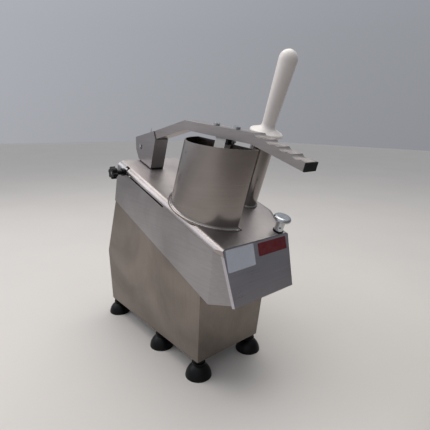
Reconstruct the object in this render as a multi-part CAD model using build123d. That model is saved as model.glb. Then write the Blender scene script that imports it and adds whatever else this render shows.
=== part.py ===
from build123d import *
import math
import os

# Vegetable preparation machine. Millimetres, +Z up, table at z = 0.
# The discharge nose points to -Y and the lever side of the hopper to -X.
# The top of the machine leans forward. Everything on it is drawn in a tilted frame:
# X to the right, Y up the slope to the rear, Z square to the lid, origin on the lid's
# outer face where the cutting axis crosses it.

# sheet metal and gaps
sheet = 1.5
seam_gap = 0.3
running_gap = 0.05
side_gap = 0.4

# lower casing
foot_height = 39.0
casing_length = 375.0
casing_side_lean = 5.5
casing_fold_z = 178.0
casing_front_lean = 12.5
casing_lap = 12.0
casing_over_hood = 60.0
sill_length = 38.0
base_plate_thickness = 2.0

# lid plane and hood
lid_slope = 18.5
lid_rear_y = 106.0
lid_rear_z = 420.0
lid_length = 382.0
axis_from_rear = 254.0
hood_half_width = 93.0
axis_x = 18.0
hood_rear_depth = 101.5
hood_rear_lean = 5.6
lid_edge_radius = 12.0
lid_depth = 12.0
drum_gap = 7.0
shoulder_length = 46.0
shoulder_inset = 5.5
shoulder_radius = 26.0
shoulder_overlap = 4.0
deck_depth = 62.0
slot_height = 3.8
slot_length = 157.0
lid_rear_strip = 8.0

# discharge nose
panel_angle = 33.0
panel_height = 106.0
panel_depth = 6.0
panel_taper_top = 4.4
panel_taper_bottom = 13.0
panel_lip_inset = 10.5
panel_flange = 34.0
nose_height = 101.0
nose_reach = 58.8
chute_start = 74.0
chute_drop = 2.0
chute_end = 24.0
chute_thickness = 1.8

# lid hinge
hinge_from_rear = 34.0
hinge_depth = 13.0
hinge_rod_radius = 4.0
knuckle_radius = 9.8
lug_radius = 9.0
lug_width = 3.0
ear_width = 9.0
flange_setback = 10.4
skirt_depth = 40.0
skirt_sweep = 3.5
knob_radius = 14.0
knob_thickness = 11.0
knob_neck_radius = 5.5
knob_reach = 22.0
knob_boss_radius = 8.5
knob_boss_length = 6.0
knob_lobes = 6
knob_groove_radius = 6.0
knob_groove_offset = 3.4
hinge_nut_radius = 7.0
hinge_nut_length = 9.0
lug_inset = 12.0

# half-moon hopper
hopper_x = -6.0
hopper_y = 2.0
hopper_taper = 4.5
hopper_flat_offset = 7.0
hopper_wall = 2.0
hopper_flange = 6.0
rim_height = 141.0
rim_angle = 12.3
rivet_hole = (21.5, 116.0)
rivet_radius = 1.7
rivet_reach = 20.0

# round feed tube and pestle
tube_offset = 68.5
tube_y = -2.0
tube_radius = 24.0
tube_wall = 1.5
tube_height = 151.0
tube_collar_radius = 27.0
tube_collar_height = 4.0
tube_bead = 1.2
pestle_gap = 0.6
pestle_collar_radius = 34.5
pestle_collar_thickness = 23.0
pestle_rim_height = 10.0
pestle_waist_radius = 13.5
pestle_head_radius = 18.0
pestle_height = 168.5
pestle_travel = 140.0

# lever post
post_offset = 4.0
post_wall = 2.0
post_front = 57.0
post_seat = 3.0
pivot_from_rear = -3.0
pivot_height = 35.0
pivot_slot = 20.0
stop_pin_from_rear = 34.0
stop_pin_height = 9.0
pivot_radius = 5.0
cheek_overhang = 26.5
cheek_top = 48.0
cheek_step = 20.5
cheek_foot = 17.0
cheek_nose = 12.0
screw_spots = (14.0, 42.0)
screw_radius = 2.5

# lever and pusher
lever_width = 30.0
lever_height = 18.0
lever_wall = 2.2
lever_end_height = 14.2
lever_peak = (146.0, 147.4)
lever_bend = (332.0, 188.4)
lever_end = (444.6, 185.1)
lever_angle_rear = 30.4
heel_radius = 11.5
notch_count = 4
notch_radius = 15.0
notch_depth = 3.6
notch_start = 9.5
notch_pitch = 28.0
plug_depth = 14.0
plug_lip = 2.5
bolt_spots = (228.0, 281.5)
bolt_offset = 3.0
bolt_radius = 3.0
bolt_head_radius = 6.5
bolt_head_height = 4.0
bolt_end = 7.0
bolt_nut_height = 4.0
bolt_nut_radius = 5.0
stem_start = 243.0
stem_length = 27.5
stem_width = 15.0
stem_inset = 13.0
magnet_length = 5.5
magnet_height = 11.0
pusher_thickness = 9.0
pusher_lift = 3.0
pusher_clearance = 4.0
pusher_setback = 24.0

# lid lock
lock_from_side = 18.1
lock_from_front = 11.0
lock_head_radius = 18.0
lock_head_height = 8.5
lock_hub_radius = 9.0
lock_hub_height = 23.0
lock_stem_radius = 4.0
lock_stem_length = 22.0
lock_washer_radius = 10.8
lock_washer = 2.0

# cutting discs and drive
disc_thickness = 3.0
disc_level = 7.0
blade_rise = 1.2
blade_count = 3
ejector_level = 50.0
ejector_inset = 4.5
ejector_thickness = 3.0
vane_height = 9.0
hub_radius = 20.0
disc_side_gap = 4.0
bowl_wall_thickness = 1.5
bowl_side_gap = 1.5
bowl_opening = 100.0
shaft_radius = 8.5
shaft_top = 14.0
housing_radius = 30.0
housing_length = 48.0
bearing_outer = 20.0
bearing_width = 12.0
pulley_level = 134.0
pulley_width = 16.0
pulley_wall_gap = 4.7
motor_pulley_radius = 16.0
pulley_flange = 3.5
belt_thickness = 3.0
belt_gap = 0.3
belt_width = 12.0
motor_offset = 150.0
motor_wall_gap = 13.5
motor_flange = 6.0
motor_flange_thickness = 8.0
fin_count = 24
fin_height = 4.0
fin_thickness = 2.4
motor_length = 130.0
motor_shaft_radius = 7.0
motor_cowl_length = 26.0
drive_plate_level = 150.0
drive_plate_thickness = 4.0
drive_plate_front = 62.0
drive_plate_rear = 58.0
drive_plate_flange = 22.0
drive_plate_hole = 25.0
fan_blade_inset = 10.5
fan_disc_inset = 18.5
fan_hub_radius = 14.0
fan_depth = 13.0
fan_gap = 3.0
cowl_slot_length = 30.0
cowl_slot_width = 5.0
cowl_slot_radius = 28.0

# feet
foot_inset = 13.0
foot_middle_y = -36.0
foot_base_radius = 27.5
foot_neck_radius = 12.5
foot_stud_radius = 4.0
foot_stud_depth = 14.0
foot_stud_rise = 9.0
foot_nut_radius = 7.0
foot_nut_height = 6.0
vent_count = 9
vent_pitch = 14.0
vent_start = 20.0
vent_length = 44.0
vent_width = 5.0
vent_x = 32.0

# controls on the hidden side and rear
button_y = -120.0
button_z = 125.0
button_spacing = 30.0
button_radius = 9.5
button_frame_end = 19.0
button_frame_width = 40.0
button_frame_thickness = 3.5
button_guide_wall = 2.8
button_guide_length = 17.0
gland_x = 45.0
gland_z = 70.0
gland_length = 18.0
gland_radius = 12.0
gland_cap_radius = 9.5
gland_thread_radius = 8.0
gland_bore = 4.0

# electrical parts on the base plate
can_x = -50.0
can_y = -60.0
can_radius = 18.0
can_length = 70.0
clip_width = 20.0
clip_wall = 1.0
box_x = 40.0
box_y = -105.0
box_width = 60.0
box_length = 90.0
box_height = 38.0
box_seam = 28.0
switch_setback = 18.0
switch_width = 16.0
switch_height = 18.0

# sizes worked out from the ones above
slope = math.radians(lid_slope)
axis_y = lid_rear_y - axis_from_rear * math.cos(slope)
axis_z = lid_rear_z - axis_from_rear * math.sin(slope)
TILT = Pos(0, axis_y, axis_z) * Rot(lid_slope, 0, 0)
lid_front = axis_from_rear - lid_length
lean = math.radians(panel_angle)
down_panel = (-math.sin(lean), -math.cos(lean))
out_panel = (-math.cos(lean), math.sin(lean))
casing_half_top = hood_half_width - sheet
casing_half_bottom = casing_half_top - casing_side_lean
casing_inside = casing_half_top - sheet
panel_half_top = hood_half_width - panel_taper_top
panel_half_bottom = hood_half_width - panel_taper_bottom
bowl_outer = casing_half_top + axis_x - bowl_side_gap
bowl_radius = bowl_outer - bowl_wall_thickness
disc_radius = bowl_radius - disc_side_gap
ejector_radius = disc_radius - ejector_inset
drum_radius = bowl_outer + drum_gap
hopper_radius_bottom = hood_half_width + hopper_x
hopper_radius_top = hopper_radius_bottom - hopper_taper
hopper_flat_x = hopper_x - hopper_flat_offset
tube_x = axis_x + tube_offset
stem_x = hopper_flat_x - stem_inset
post_x = stem_x + post_offset
bolt_x = post_x - bolt_offset
lock_x = panel_half_top - lock_from_side
pulley_radius = casing_inside - axis_x - belt_thickness - belt_gap - pulley_wall_gap
motor_radius = casing_inside - axis_x - motor_flange - motor_wall_gap
casing_front = -casing_length / 2
casing_rear = casing_length / 2
hinge_y = axis_from_rear - hinge_from_rear
deck_top = -deck_depth
far = 600.0

# the origin is brought under the middle of the machine's bounding box
plug_tip = Pos(0, axis_from_rear - lever_end[0] - plug_lip, lever_end[1])
front_reach = (TILT * plug_tip).position.Y
rear_reach = casing_rear + gland_length
left_reach = -hood_half_width - seam_gap - knob_reach - knob_thickness
right_reach = axis_x + drum_radius
CENTRE = Pos(-(left_reach + right_reach) / 2, -(front_reach + rear_reach) / 2, 0)


def on_nose(down, back):
    """A point of the side view, so far down the front panel and so far behind it."""
    y = lid_front + down * down_panel[0] - back * out_panel[0]
    z = down * down_panel[1] - back * out_panel[1]
    return (y, z)


def prism_x(points, x0, x1):
    """A solid with a side view given as (y, z) points, from x0 to x1."""
    face = make_face(Polyline(*points, close=True))
    return extrude(Plane.YZ.offset(x0) * face, amount=x1 - x0)


def block(x0, x1, y0, y1, z0, z1):
    """A box between two corners."""
    size = (x1 - x0, y1 - y0, z1 - z0)
    return Pos((x0 + x1) / 2, (y0 + y1) / 2, (z0 + z1) / 2) * Box(*size)


def disc_z(x, y, z0, z1, radius):
    """An upright cylinder."""
    return Pos(x, y, (z0 + z1) / 2) * Cylinder(radius, z1 - z0)


def bar_x(y, z, x0, x1, radius):
    """A cylinder lying along X."""
    return Pos((x0 + x1) / 2, y, z) * Rot(0, 90, 0) * Cylinder(radius, abs(x1 - x0))


def group(*solids):
    """Separate solids kept in one node."""
    return Compound(children=list(solids))


def save(name, shape):
    """One node, moved to the common origin and written to its file."""
    export_step(CENTRE * shape, f"parts/{name}.step")


# the outer form of hood and lid

hood_low = [
    (axis_from_rear - hood_rear_lean, -hood_rear_depth),
    on_nose(nose_height, nose_reach),
]


def hood_floor(y):
    """Height of the hood's lower edge at a place along the slope."""
    (y0, z0), (y1, z1) = hood_low
    return z0 + (z1 - z0) * (y - y0) / (y1 - y0)


def nose_cut(shape, inset):
    """Trim the sides of the nose along the two facets that narrow it to the panel."""
    low = on_nose(nose_height, nose_reach)
    tip = on_nose(panel_height, 0)
    for side in (-1, 1):
        a = Vector(side * hood_half_width, *low)
        b = Vector(side * panel_half_top, lid_front, 0)
        c = Vector(side * panel_half_bottom, *tip)
        out = (b - a).cross(c - a).normalized()
        if out.X * side < 0:
            out = -out
        cut = Plane(origin=a - out * inset, z_dir=out)
        shape = split(shape, bisect_by=cut, keep=Keep.BOTTOM)
    return shape


def head_outline(inset):
    """Plan of the cutting head: a circle that opens in a shoulder towards the nose."""
    right = axis_x + drum_radius
    front = lid_front + shoulder_overlap
    shoulder = make_face(Polyline((0, 0), (right, 0), (right, -shoulder_length),
                                  (hood_half_width - shoulder_inset, front),
                                  (0, front), close=True))
    corner = min(shoulder.vertices(),
                 key=lambda v: abs(v.X - right) + abs(v.Y + shoulder_length))
    shoulder = fillet(corner, shoulder_radius)
    keep = Pos(far / 2, 0) * Rectangle(far, far)
    outline = (Pos(axis_x, 0) * Circle(drum_radius) & keep) + shoulder
    return offset(outline, amount=-inset) if inset else outline


def hood_form(inset, open_ends, front_depth=panel_depth):
    """The hood and lid as one closed form, set in by a wall. Its lower end can run on."""
    half = hood_half_width - inset
    top = -inset
    rear_top = (axis_from_rear - inset, top)
    rear_low = (hood_low[0][0] - inset, hood_low[0][1])
    if open_ends:
        rear_far = rear_top[0] - hood_rear_lean * far / hood_rear_depth
        points = [rear_top, (rear_far, top - far), (-far, top - far), (-far, top)]
    else:
        front_low = on_nose(nose_height, front_depth)
        front_top = (lid_front + front_depth / math.cos(lean), top)
        points = [rear_top, rear_low, hood_low[1], front_low, front_top]
    form = prism_x(points, -half, half)
    edges = form.edges().filter_by(Axis.Y).group_by(Axis.Z)[-1]
    form = fillet(edges, lid_edge_radius - inset)
    form = nose_cut(form, inset)
    floor = deck_top - sheet
    head = Pos(0, 0, floor) * extrude(head_outline(inset), amount=top - floor, dir=(0, 0, 1))
    head = fillet(head.edges().group_by(Axis.Z)[-1], lid_edge_radius - inset)
    return form + head


outer_form = hood_form(0, False)
inner_form = hood_form(sheet, True)
hood_shell = outer_form - inner_form

ear_x = hood_half_width - ear_width
flange_end = hinge_y - flange_setback


def lid_zone(gap):
    """The part of the shell that swings with the lid, grown by a gap."""
    front = block(-far, far, -far, flange_end + gap, -lid_depth - gap, far)
    sweep = skirt_sweep if gap else 0
    rear_low = -skirt_depth - sweep
    rear = block(-ear_x - gap, ear_x + gap, flange_end - 1, far, rear_low, far)
    return front + rear


def hood():
    """Hood sides, rear wall and drum, with the ears that carry the hinge rod."""
    body = hood_shell - lid_zone(seam_gap)
    slot_top = -lid_depth + 1
    slot = block(-far, far, flange_end - slot_length, flange_end,
                 -lid_depth - slot_height, slot_top)
    body -= slot - block(-ear_x, far, -far, far, -far, far)
    notch = block(-far, far, flange_end - 1, hinge_y + 3, -lid_depth - seam_gap, far)
    notch -= bar_x(hinge_y, -hinge_depth, -far, far, knuckle_radius)
    body -= notch
    body -= bar_x(hinge_y, -hinge_depth, -far, far, hinge_rod_radius + running_gap)
    return body


# the lid and what is welded to it


def half_moon(z, grow, lift_radius):
    """The outline of the hopper at a height, grown sideways."""
    radius = lift_radius + grow
    flat = hopper_flat_x + grow
    circle = Pos(hopper_x, hopper_y) * Circle(radius)
    keep = Pos(flat - far / 2, hopper_y) * Rectangle(far, far)
    return Pos(0, 0, z) * (circle & keep)


def hopper_body(grow, z0, z1):
    """The tapering half-moon column between two heights."""
    fall = (hopper_radius_bottom - hopper_radius_top) / rim_height
    low = half_moon(z0, grow, hopper_radius_bottom - fall * z0)
    high = half_moon(z1, grow, hopper_radius_bottom - fall * z1)
    return loft([low, high])


def hopper():
    """Half-moon hopper with a welded foot flange and a rim cut on the slant."""
    tall = rim_height + 60
    wall = hopper_body(0, 0, tall)
    foot = extrude(half_moon(0, hopper_flange, hopper_radius_bottom), amount=sheet)
    body = wall + foot
    inside = [e for e in body.edges() if abs(e.center().Z - sheet) < 0.01]
    inside = [e for e in inside if e.length > 10]
    inside = sorted(inside, key=lambda e: e.bounding_box().size.Y)
    step = hopper_flange - 0.8
    near = [e for e in inside if e.bounding_box().max.X < hopper_flat_x + 0.5]
    body = fillet(near, step)
    body -= hopper_body(-hopper_wall, -5, tall + 5)
    body -= bar_x(*rivet_hole, -far, hopper_flat_x - rivet_reach, rivet_radius)
    rim = Plane(origin=(0, 0, rim_height), z_dir=Vector(0, 0, 1).rotate(Axis.X, -rim_angle))
    return split(body, bisect_by=rim, keep=Keep.BOTTOM)


def lid_flat():
    """The flat field of the lid, inside its rounded edges."""
    half = hood_half_width - lid_edge_radius
    field = block(-half, half, -far, axis_from_rear - lid_rear_strip, -sheet, sheet)
    plan = offset(head_outline(0), amount=-lid_edge_radius)
    return field + Pos(0, 0, -sheet) * extrude(plan, amount=2 * sheet, dir=(0, 0, 1))


def lid_sheet():
    """The whole folded lid: rounded long edges, a rear skirt and its openings."""
    body = (hood_form(0, False, 0) - inner_form) & lid_zone(0)
    body -= hopper_body(-hopper_wall, -20, 20)
    body -= disc_z(tube_x, tube_y, -20, 20, tube_radius - tube_wall)
    body -= disc_z(lock_x, lid_front + lock_from_front, -20, 20, lock_stem_radius + side_gap)
    return body - screw_holes()


def lid_top():
    """Flat top of the lid."""
    return lid_sheet() & lid_flat()


def lid_rim():
    """Rounded edges, side flanges and rear skirt, folded from the same sheet."""
    return lid_sheet() - lid_flat()


def hinge_lugs():
    """Two lugs under the lid that turn on the rod."""
    lugs = []
    for side in (-1, 1):
        x0 = side * (ear_x - lug_inset)
        x1 = x0 - side * lug_width
        lug = bar_x(hinge_y, -hinge_depth, x0, x1, lug_radius)
        lug += block(min(x0, x1), max(x0, x1), hinge_y - lug_radius, hinge_y + lug_radius,
                     -hinge_depth, -sheet)
        lug -= bar_x(hinge_y, -hinge_depth, -far, far, hinge_rod_radius + running_gap)
        lugs.append(lug)
    return group(*lugs)


def feed_tube():
    """Polished round tube on a collar, with a rolled bead at its mouth."""
    body = disc_z(tube_x, tube_y, 0, tube_height, tube_radius)
    body += disc_z(tube_x, tube_y, 0, tube_collar_height, tube_collar_radius)
    body += disc_z(tube_x, tube_y, tube_height - 3, tube_height, tube_radius + tube_bead)
    foot = [e for e in body.edges().filter_by(GeomType.CIRCLE)
            if abs(e.center().Z - tube_collar_height) < 0.01]
    body = fillet(foot, 1.2)
    return body - disc_z(tube_x, tube_y, -1, tube_height + 1, tube_radius - tube_wall)


def pestle():
    """Plastic pestle: plunger in the tube, collar on its mouth, waisted handle."""
    plunger = tube_radius - tube_wall - pestle_gap
    seat = tube_height + seam_gap
    top = seat + pestle_collar_thickness
    head = seat + pestle_height - pestle_head_radius
    r = pestle_collar_radius
    waist = pestle_waist_radius
    slant = pestle_head_radius * math.sin(math.pi / 4)
    rim = seat + pestle_rim_height
    with BuildSketch(Plane.XZ) as half:
        with BuildLine():
            Polyline((0, seat - pestle_travel), (plunger - 2, seat - pestle_travel),
                     (plunger, seat - pestle_travel + 2), (plunger, seat),
                     (tube_radius + 1, seat), (r - 3, rim - 4))
            ThreePointArc((r - 3, rim - 4), (r, rim), (r - 3, rim + 4.5))
            Line((r - 3, rim + 4.5), (waist + 7, top - 4))
            ThreePointArc((waist + 7, top - 4), (waist + 2, top - 1), (waist, top + 5))
            Line((waist, top + 5), (pestle_head_radius, head))
            ThreePointArc((pestle_head_radius, head), (slant, head + slant),
                          (0, head + pestle_head_radius))
            Line((0, head + pestle_head_radius), (0, seat - pestle_travel))
        make_face()
    return Pos(tube_x, tube_y, 0) * revolve(half.sketch, Axis.Z)


# lever post, lever and pusher


def along(s, h):
    """A point given from the lid's rear edge forward and up from the lid."""
    return (axis_from_rear - s, h)


post_half = lever_width / 2 + side_gap + post_wall
lever_rise = math.tan(math.radians(lever_angle_rear))


def lever_top(s):
    """Height of the rear arm's upper face."""
    return lever_peak[1] - (lever_peak[0] - s) * lever_rise


def lever_under(s):
    """Height of the rear arm's lower face."""
    return lever_top(s) - lever_height / math.cos(math.radians(lever_angle_rear))


def lever_post():
    """Folded channel that carries the pivot: two cheeks joined by a front wall."""
    rear = -cheek_overhang
    cheek_front = post_front - cheek_nose
    post_front_height = lever_under(post_front - post_wall) - seam_gap
    side = [along(0, post_seat), along(post_front, post_seat),
            along(post_front, post_front_height),
            along(cheek_front, lever_top(cheek_front)),
            along(rear, cheek_top), along(-cheek_foot, cheek_step)]
    channel = prism_x(side, post_x - post_half, post_x + post_half)
    inside = [along(-far, post_seat - 1), along(post_front - post_wall, post_seat - 1),
              along(post_front - post_wall, far), along(-far, far)]
    half = post_half - post_wall
    channel -= prism_x(inside, post_x - half, post_x + half)
    cheek_line = [along(cheek_front - 0.01, post_front_height),
                  along(post_front + 1, post_front_height),
                  along(post_front + 1, far), along(cheek_front - 0.01, far)]
    channel -= prism_x(cheek_line, post_x - half, post_x + half)
    foot = block(post_x - half, post_x + half, axis_from_rear - post_front + post_wall,
                 axis_from_rear - 4, post_seat, post_seat + post_wall)
    channel += foot
    channel -= screw_holes()
    pivot = along(pivot_from_rear, pivot_height)
    slot = SlotOverall(pivot_slot, 2 * (pivot_radius + running_gap))
    middle = pivot[0] - pivot_slot / 2 + pivot_radius + running_gap
    slot = Plane(origin=(-far, middle, pivot[1]), x_dir=(0, 1, 0), z_dir=(1, 0, 0)) * slot
    return channel - extrude(slot, amount=2 * far)


def post_gasket():
    """Black plate that seals the post to the lid."""
    plate = block(post_x - post_half + 2, post_x + post_half - 2,
                  axis_from_rear - post_front - 2, axis_from_rear - 3, 0, post_seat)
    return plate - screw_holes()


def screw_holes():
    """Holes for the post's screws in the post, its gasket and the lid."""
    radius = screw_radius + running_gap
    return group(*[disc_z(post_x, axis_from_rear - s, -far, post_seat + 20, radius)
                   for s in screw_spots])


def post_screws():
    """Screws down through the post's foot and the lid, with nuts below."""
    screws = []
    for s in screw_spots:
        y = axis_from_rear - s
        seat = post_seat + post_wall
        screw = disc_z(post_x, y, -sheet - 6, seat, screw_radius)
        screw += disc_z(post_x, y, seat, seat + 4, 2 * screw_radius)
        screw += Pos(post_x, y, -sheet - 4) * extrude(RegularPolygon(5, 6), amount=4)
        screws.append(screw)
    return group(*screws)


def pivot_pin():
    """Lever pivot, sunk a little in the slots, and the small pin on the left cheek."""
    y, z = along(pivot_from_rear, pivot_height)
    sunk = post_half - 0.4
    pin = bar_x(y, z, post_x - sunk, post_x + sunk, pivot_radius)
    y, z = along(stop_pin_from_rear, lever_top(stop_pin_from_rear))
    stop = disc_z(post_x - post_half + post_wall / 2, y, z - 1, z + stop_pin_height, 1)
    return group(pin, stop - lever_post())


def lever_side():
    """Side view of the lever, from its rear end to the grip."""
    cos_rear = math.cos(math.radians(lever_angle_rear))
    drop = lever_height / cos_rear
    rear = -14
    under_bend = lever_bend[1] - lever_height - 0.6
    under_peak = lever_peak[0] + 5.5
    return [along(rear, lever_top(rear)), along(*lever_peak), along(*lever_bend),
            along(*lever_end), along(lever_end[0] + 1.0, lever_end[1] - lever_end_height),
            along(lever_bend[0] + 2.0, under_bend),
            along(under_peak, lever_top(under_peak) - drop),
            along(rear, lever_top(rear) - drop)]


def lever():
    """Aluminium lever with a heel round the pivot and finger notches on the grip."""
    x0 = post_x - lever_width / 2
    x1 = post_x + lever_width / 2
    body = prism_x(lever_side(), x0, x1)
    pivot = along(pivot_from_rear, pivot_height)
    heel = bar_x(*pivot, x0, x1, heel_radius)
    body += heel
    body += prism_x([along(-14, 44), along(9, 44), along(9, lever_top(9) - 2),
                     along(-14, lever_top(-14) - 2)], x0, x1)
    body -= bar_x(*pivot, -far, far, pivot_radius + running_gap)
    run = lever_end[0] - lever_bend[0]
    fall = (lever_end[1] - lever_bend[1]) / run
    for i in range(notch_count):
        s = lever_bend[0] + notch_start + i * notch_pitch
        h = lever_bend[1] + (s - lever_bend[0]) * fall + notch_radius - notch_depth
        body -= bar_x(*along(s, h), -far, far, notch_radius)
    body -= lever_socket()
    hollow = lever_wall
    inner = [along(24, lever_top(24) - hollow * 1.4),
             along(lever_peak[0] + 0.6, lever_peak[1] - hollow * 1.1),
             along(lever_bend[0] - 12, lever_bend[1] - hollow - 2.9),
             along(lever_bend[0] - 12, lever_bend[1] - lever_height + hollow - 2.4),
             along(lever_peak[0] + 5.0, lever_top(lever_peak[0]) - lever_height + hollow),
             along(24, lever_top(24) - lever_height / math.cos(math.radians(lever_angle_rear))
                   + hollow * 1.4)]
    body -= prism_x(inner, x0 + lever_wall, x1 - lever_wall)
    return body - bolt_holes()


def bolt_holes():
    """Holes for the two bolts in the lever's walls."""
    radius = bolt_radius + running_gap
    return group(*[disc_z(bolt_x, axis_from_rear - s, 0, far, radius) for s in bolt_spots])


def lever_socket():
    """The open end of the grip, where the plug sits."""
    s, h = lever_end
    low = h - lever_end_height + lever_wall
    half = lever_width / 2 - lever_wall
    points = [along(s - plug_depth, h - lever_wall), along(s + 5, h - lever_wall),
              along(s + 5, low), along(s - plug_depth, low)]
    return prism_x(points, post_x - half, post_x + half)


def end_plug():
    """Black plastic plug with a square flange over the end of the grip."""
    s, h = lever_end
    stub = lever_socket() & block(-far, far, axis_from_rear - s - 0.5, far, -far, far)
    points = [along(s, h), along(s + plug_lip, h),
              along(s + plug_lip + 1, h - lever_end_height), along(s + 1, h - lever_end_height)]
    half = lever_width / 2
    return stub + prism_x(points, post_x - half, post_x + half)


def stem_top(s):
    """Height of the middle arm's underside."""
    a = (lever_peak[0] + 5.5, lever_top(lever_peak[0] + 5.5)
         - lever_height / math.cos(math.radians(lever_angle_rear)))
    b = (lever_bend[0] + 2.0, lever_bend[1] - lever_height - 0.6)
    return a[1] + (b[1] - a[1]) * (s - a[0]) / (b[0] - a[0])


def pusher_stem():
    """White plastic column from the lever down to the pusher plate."""
    s0 = stem_start
    s1 = stem_start + stem_length
    top = pusher_lift + pusher_thickness
    side = [along(s0, top), along(s1, top), along(s1, stem_top(s1)), along(s0, stem_top(s0))]
    return prism_x(side, stem_x - stem_width / 2, stem_x + stem_width / 2)


def magnet_block():
    """Black block under the lever that closes the safety switch."""
    s0 = stem_start + stem_length
    s1 = s0 + magnet_length
    side = [along(s0, stem_top(s0) - magnet_height), along(s1, stem_top(s1) - magnet_height),
            along(s1, stem_top(s1)), along(s0, stem_top(s0))]
    return prism_x(side, stem_x - stem_width / 2, stem_x + stem_width / 2)


def pusher_plate():
    """Half-moon plate that swings down the hopper, shorter at the rear for its arc."""
    inner = hopper_radius_top - hopper_wall - pusher_clearance
    flat = hopper_flat_x - hopper_wall - 1.5
    shape = Pos(hopper_x, hopper_y) * Circle(inner)
    shape &= Pos(hopper_x, hopper_y - pusher_setback) * Circle(inner + 2)
    shape &= Pos(flat - far / 2, 0) * Rectangle(far, far)
    plate = extrude(Pos(0, 0, pusher_lift) * shape, amount=pusher_thickness)
    low = plate.edges().group_by(Axis.Z)[0]
    return fillet(low, 1.5)


def lever_bolts():
    """Two bolts through the lever, the front one with its nut below."""
    rise = (lever_bend[1] - lever_peak[1]) / (lever_bend[0] - lever_peak[0])
    bolts = []
    for s in bolt_spots:
        y = axis_from_rear - s
        seat = lever_peak[1] + (s - lever_peak[0]) * rise + bolt_head_radius * rise
        bolt = disc_z(bolt_x, y, stem_top(s) + 1, seat, bolt_radius)
        bolt += disc_z(bolt_x, y, seat, seat + bolt_head_height, bolt_head_radius)
        bolts.append(bolt)
    low = stem_top(s) - bolt_head_radius * rise
    bolts[-1] += disc_z(bolt_x, y, low - bolt_end, low + 2, bolt_radius)
    nut = extrude(RegularPolygon(bolt_nut_radius, 6), amount=bolt_nut_height)
    bolts[-1] += Pos(bolt_x, y, low - bolt_nut_height) * nut
    return group(*bolts)


# hinge rod, lock knob


def hinge_rod():
    """Steel rod through both ears and the lid's lugs, its end just inside the knob's face."""
    outer = -hood_half_width - seam_gap - knob_reach - knob_thickness
    inner = hood_half_width + hinge_nut_length - 2
    return bar_x(hinge_y, -hinge_depth, outer + 1, inner, hinge_rod_radius)


def hinge_knob():
    """Black lobed knob with a long neck and a boss against the ear."""
    face = hood_half_width + seam_gap
    knob = bar_x(hinge_y, -hinge_depth, -face - knob_boss_length, -face, knob_boss_radius)
    knob += bar_x(hinge_y, -hinge_depth, -face - knob_reach, -face, knob_neck_radius)
    head_in = -face - knob_reach
    head = bar_x(hinge_y, -hinge_depth, head_in - knob_thickness, head_in, knob_radius)
    away = knob_radius + knob_groove_offset
    for i in range(knob_lobes):
        turn = 2 * math.pi * (i + 0.5) / knob_lobes
        y = hinge_y + away * math.cos(turn)
        z = -hinge_depth + away * math.sin(turn)
        head -= bar_x(y, z, head_in - knob_thickness - 1, head_in + 1, knob_groove_radius)
    rim = head.edges().filter_by(lambda e: abs(e.center().X - (head_in - knob_thickness)) < 0.01)
    knob += fillet(rim, 2)
    return knob - bar_x(hinge_y, -hinge_depth, -far, 0, hinge_rod_radius)


def hinge_nut():
    """Domed nut fixed to the far ear, which takes the rod's thread."""
    x = hood_half_width
    nut = bar_x(hinge_y, -hinge_depth, x, x + hinge_nut_length, hinge_nut_radius)
    nut = fillet(nut.edges().group_by(Axis.X)[-1], 3)
    end = x + hinge_nut_length - 2 + seam_gap
    return nut - bar_x(hinge_y, -hinge_depth, x - 1, end, hinge_rod_radius + running_gap)


def lock_knob():
    """Metal mushroom knob: polished head on a drilled hub."""
    y = lid_front + lock_from_front
    foot = lock_washer + seam_gap
    hub_top = foot + lock_hub_height
    head = disc_z(lock_x, y, hub_top, hub_top + lock_head_height, lock_head_radius)
    head = fillet(head.edges().group_by(Axis.Z)[-1], lock_head_height - 3)
    head = fillet(head.edges().group_by(Axis.Z)[0], 2)
    knob = head + disc_z(lock_x, y, foot, hub_top, lock_hub_radius)
    turn = Rot(0, 0, 45)
    pin_hole = Pos(lock_x, y, foot + 9) * turn * Rot(0, 90, 0) * Cylinder(2.2, 40)
    return knob - pin_hole - disc_z(lock_x, y, foot - 1, foot + 6, lock_stem_radius)


def lock_stem():
    """Steel stem of the knob, with its smooth nose in the catch nut."""
    y = lid_front + lock_from_front
    foot = lock_washer + seam_gap
    return disc_z(lock_x, y, -lock_stem_length, foot + 6, lock_stem_radius)


def lock_washer_ring():
    """Rubber ring on the lid under the knob."""
    y = lid_front + lock_from_front
    return disc_z(lock_x, y, 0, lock_washer, lock_washer_radius) - disc_z(
        lock_x, y, -1, lock_washer + 1, lock_stem_radius + side_gap)


def catch_nut():
    """Nut welded under the panel's top flange, where the stem seats."""
    y = lid_front + lock_from_front
    top = -sheet - seam_gap - sheet
    return disc_z(lock_x, y, top - 16, top, 8) - disc_z(
        lock_x, y, top - 20, 1, lock_stem_radius + side_gap)


# front panel


def front_panel():
    """Folded tray that closes the nose: face, two side flanges and a top flange."""
    half = hood_half_width
    top = sheet + seam_gap
    behind = lid_front + panel_depth / math.cos(lean) - top * math.tan(lean)
    face = [on_nose(top / math.cos(lean), 0), on_nose(panel_height, 0),
            on_nose(panel_height, panel_depth), (behind, -top)]
    tray = nose_cut(prism_x(face, -half, half), 0)
    hollow = prism_x([on_nose(-far, sheet), on_nose(far, sheet), on_nose(far, far),
                      on_nose(-far, far)], -half, half)
    tray -= nose_cut(hollow, sheet)
    above = block(-far, far, -far, far, -lid_depth - seam_gap, far)
    tray -= above - hood_form(sheet + seam_gap, True)
    lip = prism_x([(lid_front, -top), (lid_front + panel_flange, -top),
                   (lid_front + panel_flange, -top - sheet), (lid_front - 1, -top - sheet)],
                  -panel_half_top + lid_edge_radius, panel_half_top - panel_lip_inset)
    tray += lip
    tray -= disc_z(lock_x, lid_front + lock_from_front, -20, 5, lock_stem_radius + side_gap)
    return tray


# chamber


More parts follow.
